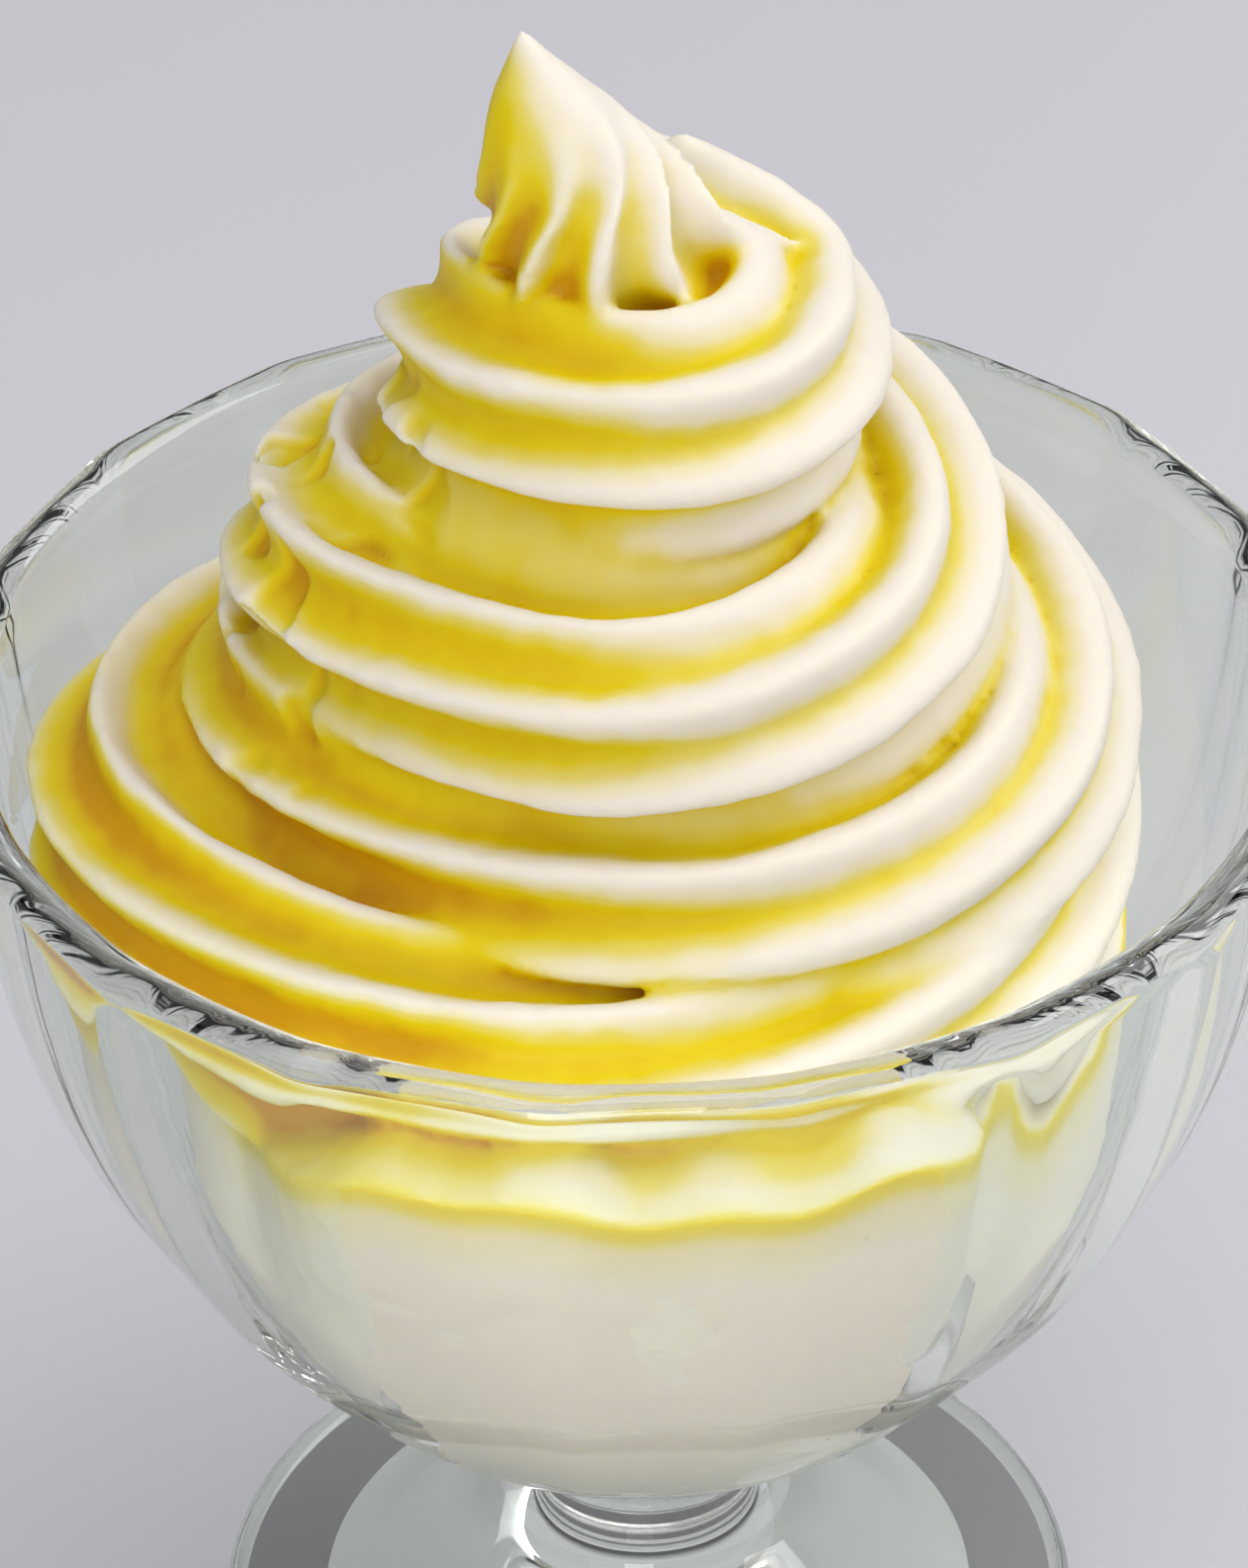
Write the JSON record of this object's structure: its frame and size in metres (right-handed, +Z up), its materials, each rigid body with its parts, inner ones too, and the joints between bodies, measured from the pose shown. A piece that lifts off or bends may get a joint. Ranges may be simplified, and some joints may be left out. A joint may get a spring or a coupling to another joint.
{
  "type": "sorbet cup",
  "caption": "Lemon sorbet piped as a tall ridged swirl with a pulled tip, in a footed cup of thick pressed glass with a panelled bowl",
  "frame": {"origin": "centre of the underside of the foot, on the table", "axes": "+Z up along the stem, -Y towards the viewer of the picture, +X to the viewer's right"},
  "size_m": [0.1124, 0.1114, 0.1588],
  "materials": {
    "clear_glass": "clear pressed glass, fire-polished, with a faint grey tint",
    "lemon_sorbet": "dense moist sorbet, satin, nearly white on the crests and yellow in the creases"
  },
  "bodies": {
    "root": {"glass_cup": "clear_glass", "sorbet_swirl": "lemon_sorbet"}
  },
  "joints": []
}
